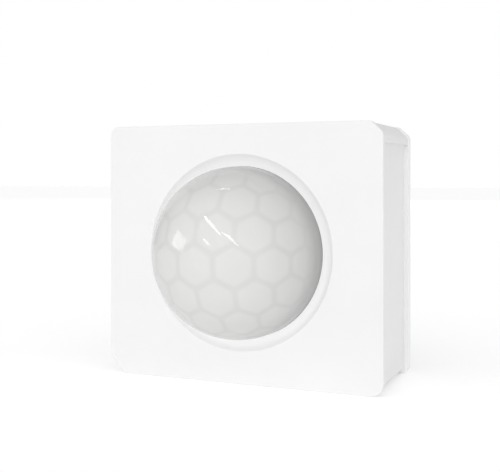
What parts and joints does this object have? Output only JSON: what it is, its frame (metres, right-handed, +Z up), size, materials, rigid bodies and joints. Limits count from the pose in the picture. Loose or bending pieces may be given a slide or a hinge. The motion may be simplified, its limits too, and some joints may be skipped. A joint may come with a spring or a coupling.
{
  "type": "motion sensor",
  "caption": "Small box-shaped wireless passive-infrared motion sensor with a faceted dome lens, a groove round its side and a pull-off rear cover over a coin cell.",
  "frame": {"origin": "on the surface the sensor stands on, under the middle of its bounding box", "axes": "+Z up, -Y the way the lens looks, +X to the right as seen facing the lens"},
  "size_m": [0.0398, 0.0286, 0.035],
  "materials": {
    "cover_plastic": "fine satin, plain white",
    "lens_plastic": "milky translucent, glossy",
    "inner_plastic": "matte off-white",
    "board_laminate": "green solder mask",
    "steel": "nickel plated",
    "spring_contact": "nickel plated spring strip",
    "window_silicon": "dark polished filter",
    "black_plastic": "moulded black",
    "button_plastic": "dark grey",
    "ceramic_body": "fired, plain",
    "capacitor_body": "moulded ochre",
    "led_body": "clear resin over white base",
    "pad_foam": "closed-cell foam tape",
    "liner_paper": "waxed release paper"
  },
  "bodies": {
    "housing": {"front_cover": "cover_plastic", "fresnel_lens": "lens_plastic", "lens_retainer": "inner_plastic", "battery_holder": "inner_plastic", "circuit_board": "board_laminate", "board_screws": "steel", "pir_header": "steel", "pir_leads": "steel", "pir_can": "steel", "radio_shield": "steel", "crystal": "steel", "coin_cell_can": "steel", "coin_cell_cap": "steel", "positive_contact": "spring_contact", "negative_contact": "spring_contact", "pir_window": "window_silicon", "pir_amplifier": "black_plastic", "radio_chip": "black_plastic", "pairing_switch": "black_plastic", "tamper_switch": "black_plastic", "coin_cell_seal": "black_plastic", "chip_resistors": "black_plastic", "pir_element": "ceramic_body", "chip_antenna": "ceramic_body", "chip_capacitors": "ceramic_body", "coin_cell_core": "ceramic_body", "reservoir_capacitor": "capacitor_body", "status_led": "led_body"},
    "rear": {"rear_cover": "cover_plastic", "adhesive_pad": "pad_foam", "release_liner": "liner_paper"},
    "button": {"pairing_button": "button_plastic"},
    "plunger": {"tamper_plunger": "button_plastic"}
  },
  "joints": [
    {"name": "rear_cover_slide", "type": "slide", "parent": "housing", "child": "rear", "axis": [0, 1, 0], "range_m": [0, 0.02]},
    {"name": "pairing_button_press", "type": "slide", "parent": "housing", "child": "button", "axis": [0, -1, 0], "range_m": [0, 0.00025], "stiffness_N_per_m": 1000},
    {"name": "tamper_plunger_slide", "type": "slide", "parent": "housing", "child": "plunger", "axis": [0, 1, 0], "range_m": [0, 0.0005]}
  ],
  "couplings": [
    {"joint": "tamper_plunger_slide", "follows": "rear_cover_slide", "ratio": 0.025}
  ]
}
